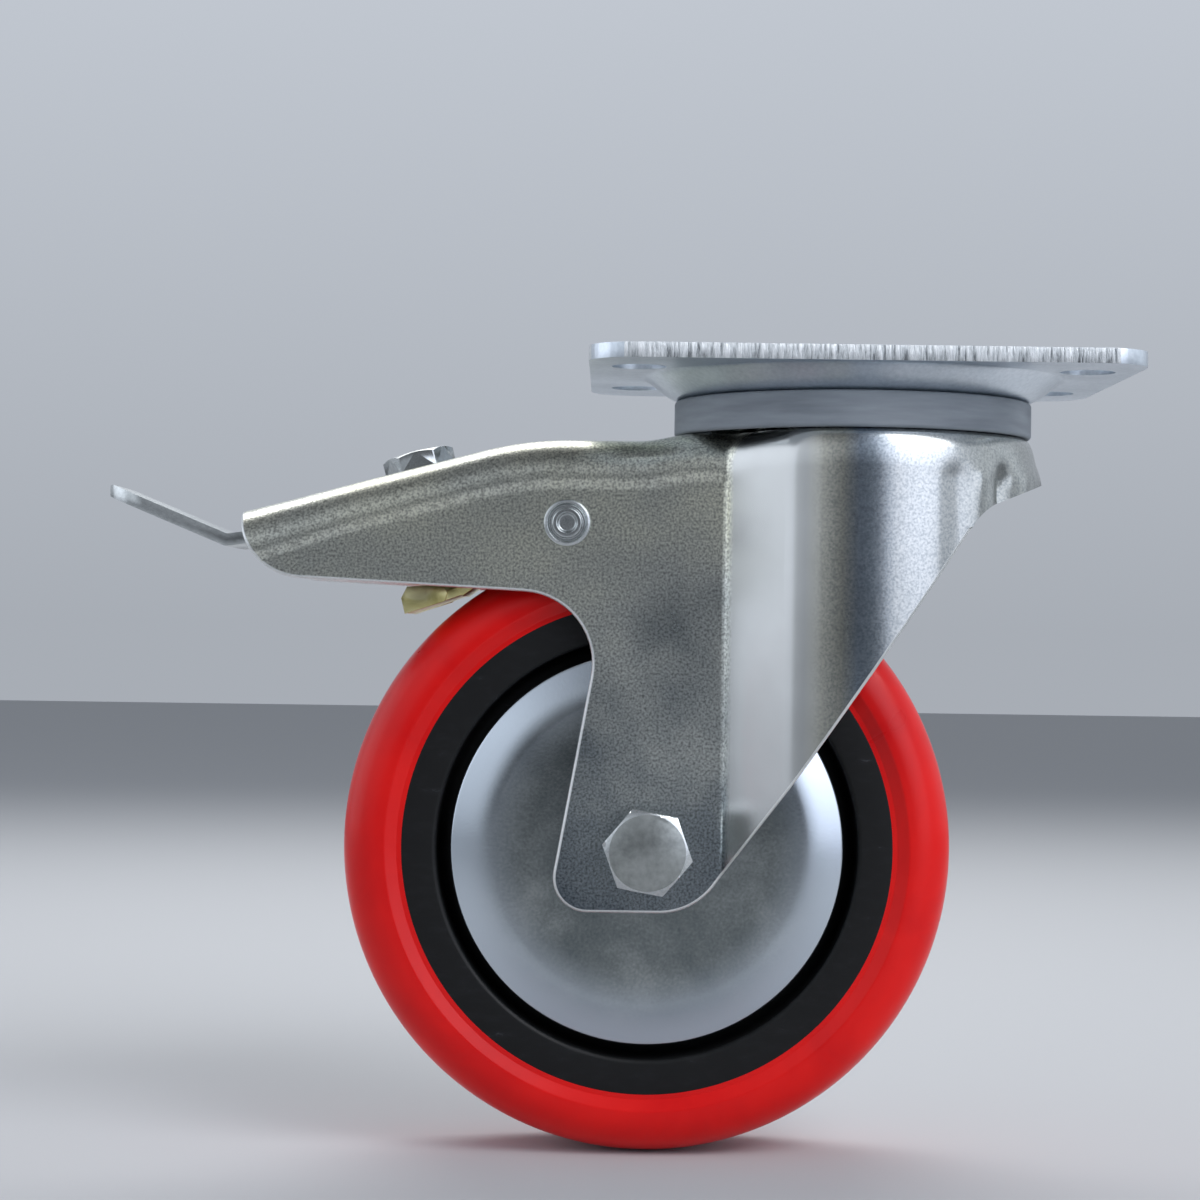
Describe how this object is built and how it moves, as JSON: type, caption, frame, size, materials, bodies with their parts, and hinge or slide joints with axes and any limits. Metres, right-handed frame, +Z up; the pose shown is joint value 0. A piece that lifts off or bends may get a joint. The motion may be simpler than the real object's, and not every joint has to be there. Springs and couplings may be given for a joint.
{
  "type": "braked castor",
  "caption": "Swivel castor with a bolt-on top plate, pressed steel fork, red polyurethane wheel on ball bearings and a rear pedal that locks wheel and swivel together.",
  "frame": {"origin": "centre of the plate's top face, on the swivel axis", "axes": "+Z up out of the plate along the swivel axis, -X the way the wheel trails, -Y the side with the axle bolt's head"},
  "size_m": [0.2092, 0.09, 0.163],
  "materials": {
    "zinc_steel": "satin",
    "bearing_steel": "polished",
    "grey_plastic": "matte",
    "black_plastic": "matte",
    "red_polyurethane": "satin",
    "yellow_zinc_steel": "satin"
  },
  "bodies": {
    "plate": {"top_plate": "zinc_steel", "king_pin": "zinc_steel", "king_nut": "zinc_steel", "lower_race": "zinc_steel", "seal_ring": "grey_plastic", "upper_balls": "bearing_steel", "lower_balls": "bearing_steel"},
    "fork": {"fork": "zinc_steel", "axle_bolt": "zinc_steel", "axle_washer": "zinc_steel", "axle_nut": "zinc_steel", "spacer_tube": "zinc_steel", "near_inner_ring": "bearing_steel", "far_inner_ring": "bearing_steel", "near_dust_cover": "zinc_steel", "far_dust_cover": "zinc_steel", "pedal_pin": "zinc_steel", "adjusting_bolt": "zinc_steel", "adjuster_nut": "zinc_steel"},
    "wheel": {"wheel_core": "black_plastic", "tyre": "red_polyurethane", "near_outer_ring": "bearing_steel", "far_outer_ring": "bearing_steel", "near_bearing_balls": "bearing_steel", "far_bearing_balls": "bearing_steel"},
    "pedal": {"brake_pedal": "zinc_steel"},
    "leaf": {"brake_leaf": "yellow_zinc_steel"}
  },
  "joints": [
    {"name": "swivel", "type": "hinge", "parent": "plate", "child": "fork", "pos_m": [0, 0, 0], "axis": [0, 0, 1], "continuous": true},
    {"name": "wheel_spin", "type": "hinge", "parent": "fork", "child": "wheel", "pos_m": [-0.042, 0, -0.1005], "axis": [0, 1, 0], "continuous": true},
    {"name": "pedal_press", "type": "hinge", "parent": "fork", "child": "pedal", "pos_m": [-0.0591, 0, -0.0344], "axis": [0, -1, 0], "range_deg": [0, 9]},
    {"name": "leaf_bend", "type": "hinge", "parent": "fork", "child": "leaf", "pos_m": [-0.0925, 0, -0.05], "axis": [0, 1, 0], "range_deg": [0, 1.94]}
  ],
  "couplings": [
    {"joint": "leaf_bend", "follows": "pedal_press", "ratio": 0.215}
  ]
}
